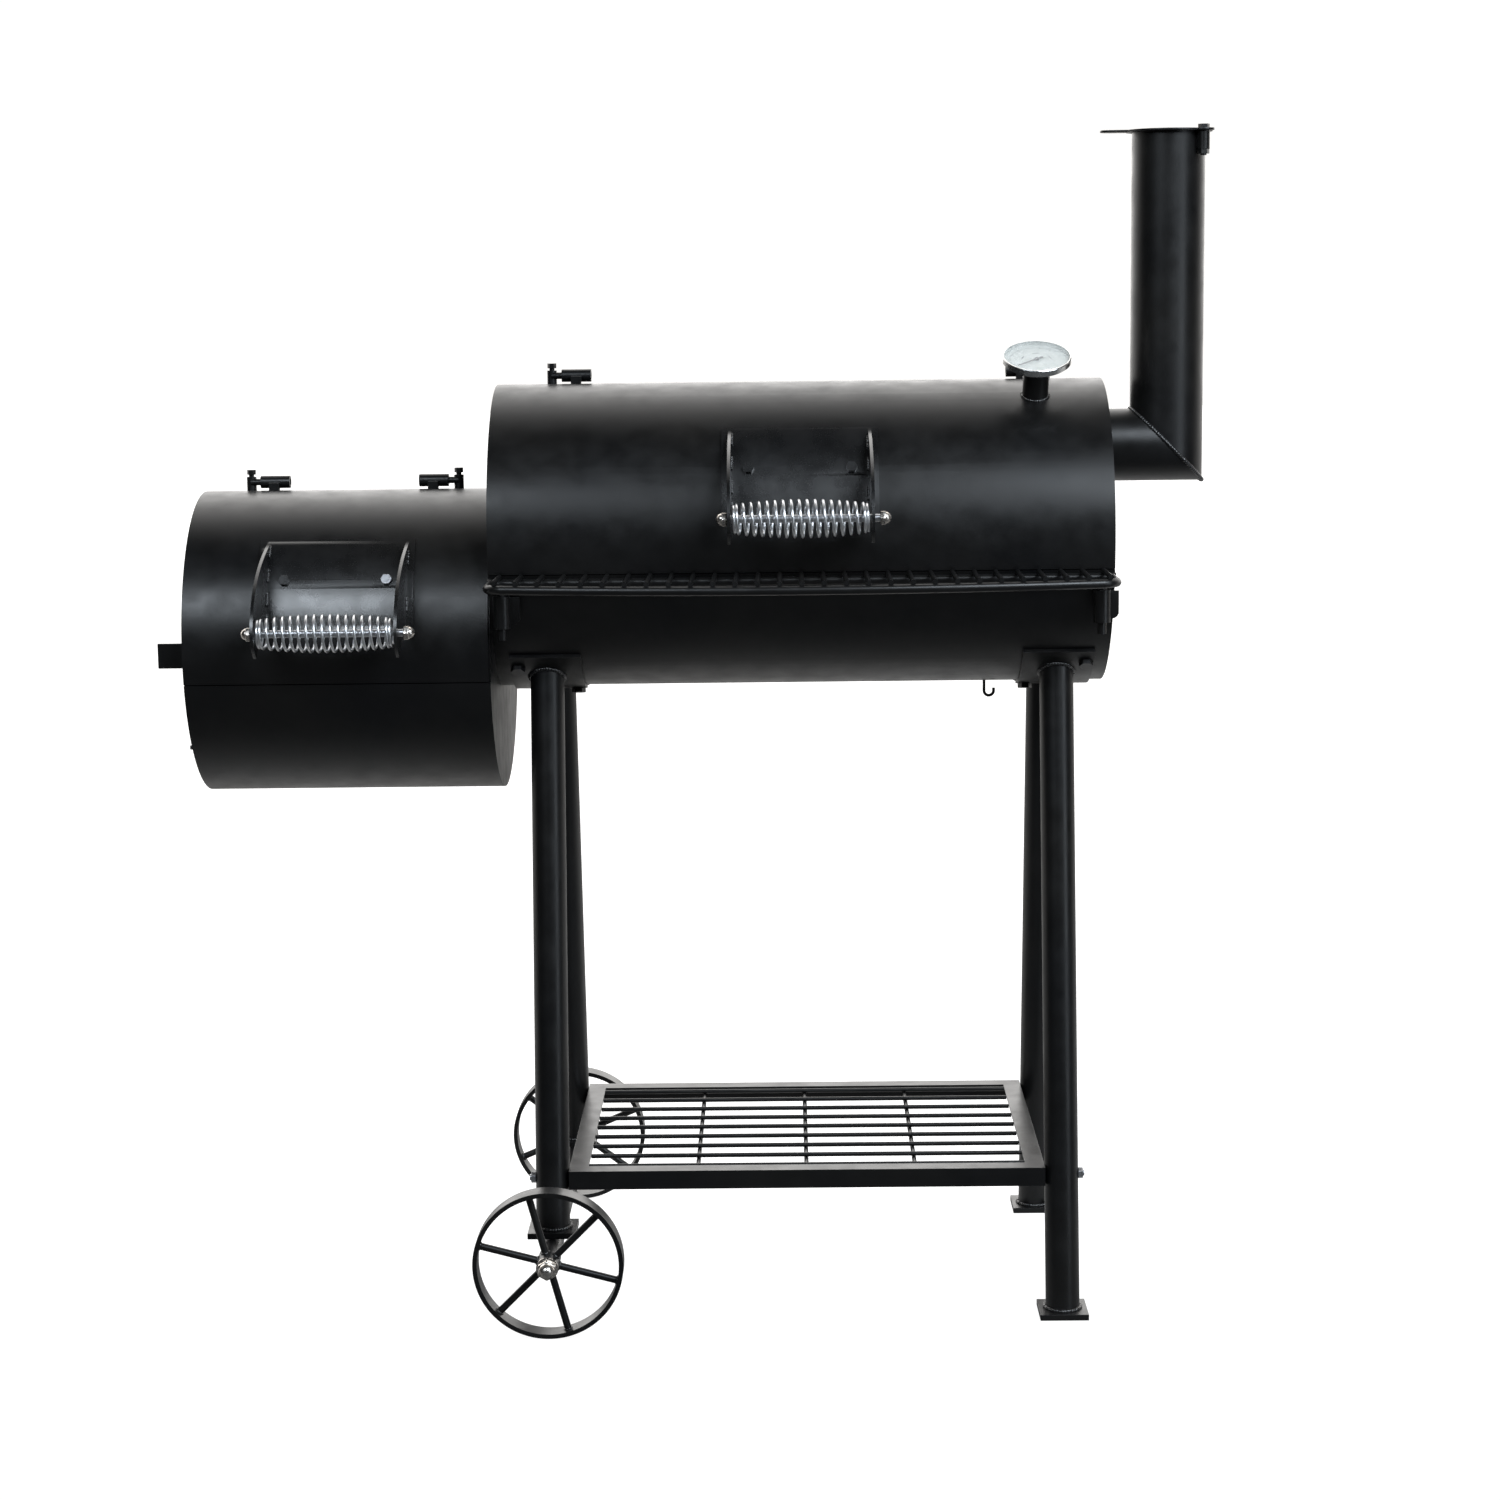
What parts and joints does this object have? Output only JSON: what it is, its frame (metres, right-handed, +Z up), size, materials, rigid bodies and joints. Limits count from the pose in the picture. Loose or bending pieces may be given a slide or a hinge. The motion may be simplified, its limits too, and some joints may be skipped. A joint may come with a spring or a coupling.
{
  "type": "offset smoker",
  "caption": "Offset barrel smoker: lidded cooking chamber, lower side firebox, chimney with damper, lid thermometer, front tray and a wheeled stand with a wire shelf.",
  "frame": {"origin": "centre of the footprint on the floor", "axes": "+Z up, -Y towards the cook, firebox at -X and chimney at +X"},
  "size_m": [1.3944, 0.6904, 1.558],
  "materials": {
    "heat_paint": "satin black high-temperature paint on rolled steel",
    "bare_steel": "seasoned bare steel, dull",
    "coil_chrome": "bright plated spring wire",
    "cap_nut_nickel": "bright domed cap nut, slightly warm",
    "zinc_plate": "zinc-plated steel",
    "black_oxide": "black fastener, painted over",
    "gauge_steel": "polished stainless steel",
    "gauge_dial": null,
    "needle_paint": "dark painted needle",
    "gauge_glass": "clear flat glass"
  },
  "bodies": {
    "root": {"cook_barrel": "heat_paint", "cook_end_left": "heat_paint", "cook_end_right": "heat_paint", "cook_grate_rails": "bare_steel", "firebox_barrel": "heat_paint", "firebox_end_left": "heat_paint", "firebox_end_right": "heat_paint", "fire_grate_rails": "bare_steel", "cook_hinge_pins": "heat_paint", "firebox_hinge_pins": "heat_paint", "air_damper_bolt": "black_oxide", "chimney_stub": "heat_paint", "chimney_stack": "heat_paint", "damper_lug": "heat_paint", "damper_bolt": "black_oxide", "leg_saddles": "heat_paint", "saddle_bolts": "black_oxide", "leg_front_left": "heat_paint", "leg_rear_left": "heat_paint", "leg_front_right": "heat_paint", "leg_rear_right": "heat_paint", "foot_pads": "heat_paint", "shelf_frame": "heat_paint", "shelf_rods": "heat_paint", "shelf_bolts": "zinc_plate", "axle_tube": "heat_paint", "axle": "zinc_plate", "axle_cap_nuts": "cap_nut_nickel", "tray_sockets": "heat_paint", "bucket_hook": "heat_paint"},
    "cook_lid": {"cook_lid_shell": "heat_paint", "cook_hinge_barrels": "heat_paint", "cook_handle_bracket": "heat_paint", "cook_handle_rod": "zinc_plate", "cook_handle_coil": "coil_chrome", "cook_handle_cap_nuts": "cap_nut_nickel", "cook_handle_bolts": "black_oxide", "thermometer_socket": "heat_paint", "thermometer_stem": "gauge_steel", "thermometer_case": "gauge_steel", "thermometer_dial": "gauge_dial", "thermometer_glass": "gauge_glass"},
    "gauge_needle": {"thermometer_needle": "needle_paint"},
    "firebox_lid": {"firebox_lid_shell": "heat_paint", "firebox_hinge_barrels": "heat_paint", "firebox_handle_bracket": "heat_paint", "firebox_handle_rod": "zinc_plate", "firebox_handle_coil": "coil_chrome", "firebox_handle_cap_nuts": "cap_nut_nickel", "firebox_handle_bolts": "black_oxide"},
    "air_damper": {"air_damper": "heat_paint"},
    "chimney_damper": {"chimney_damper": "heat_paint"},
    "cook_grate_left": {"cook_grate_left": "bare_steel"},
    "cook_grate_right": {"cook_grate_right": "bare_steel"},
    "fire_grate": {"fire_grate": "bare_steel"},
    "wheel_front": {"wheel_front": "heat_paint"},
    "wheel_rear": {"wheel_rear": "heat_paint"},
    "tray": {"tray_frame": "heat_paint", "tray_rods": "heat_paint"}
  },
  "joints": [
    {"name": "cook_lid_hinge", "type": "hinge", "parent": "root", "child": "cook_lid", "pos_m": [0.1451, 0.022, 1.2381], "axis": [-1, 0, 0], "range_deg": [0, 126]},
    {"name": "firebox_lid_hinge", "type": "hinge", "parent": "root", "child": "firebox_lid", "pos_m": [-0.4599, 0.022, 1.0991], "axis": [-1, 0, 0], "range_deg": [0, 126]},
    {"name": "needle_turn", "type": "hinge", "parent": "cook_lid", "child": "gauge_needle", "pos_m": [0.4561, -0.10794, 1.25587], "axis": [0, 0.4226, -0.9063], "range_deg": [0, 250], "stiffness_Nm_per_rad": 0.0002},
    {"name": "air_damper_turn", "type": "hinge", "parent": "root", "child": "air_damper", "pos_m": [-0.6622, 0, 0.8854], "axis": [1, 0, 0], "range_deg": [0, 43]},
    {"name": "chimney_damper_turn", "type": "hinge", "parent": "root", "child": "chimney_damper", "pos_m": [0.6802, -0.04, 1.5514], "axis": [0, 0, 1], "range_deg": [0, 120]},
    {"name": "cook_grate_left_lift", "type": "slide", "parent": "root", "child": "cook_grate_left", "axis": [0, 0, 1], "range_m": [0, 0.06]},
    {"name": "cook_grate_right_lift", "type": "slide", "parent": "root", "child": "cook_grate_right", "axis": [0, 0, 1], "range_m": [0, 0.06]},
    {"name": "fire_grate_lift", "type": "slide", "parent": "root", "child": "fire_grate", "axis": [0, 0, 1], "range_m": [0, 0.05]},
    {"name": "tray_lift", "type": "slide", "parent": "root", "child": "tray", "axis": [0, 0, 1], "range_m": [0, 0.034]},
    {"name": "wheel_front_spin", "type": "hinge", "parent": "root", "child": "wheel_front", "pos_m": [-0.1934, -0.29895, 0.0984], "axis": [0, 1, 0], "continuous": true},
    {"name": "wheel_rear_spin", "type": "hinge", "parent": "root", "child": "wheel_rear", "pos_m": [-0.1934, 0.29895, 0.0984], "axis": [0, 1, 0], "continuous": true}
  ]
}
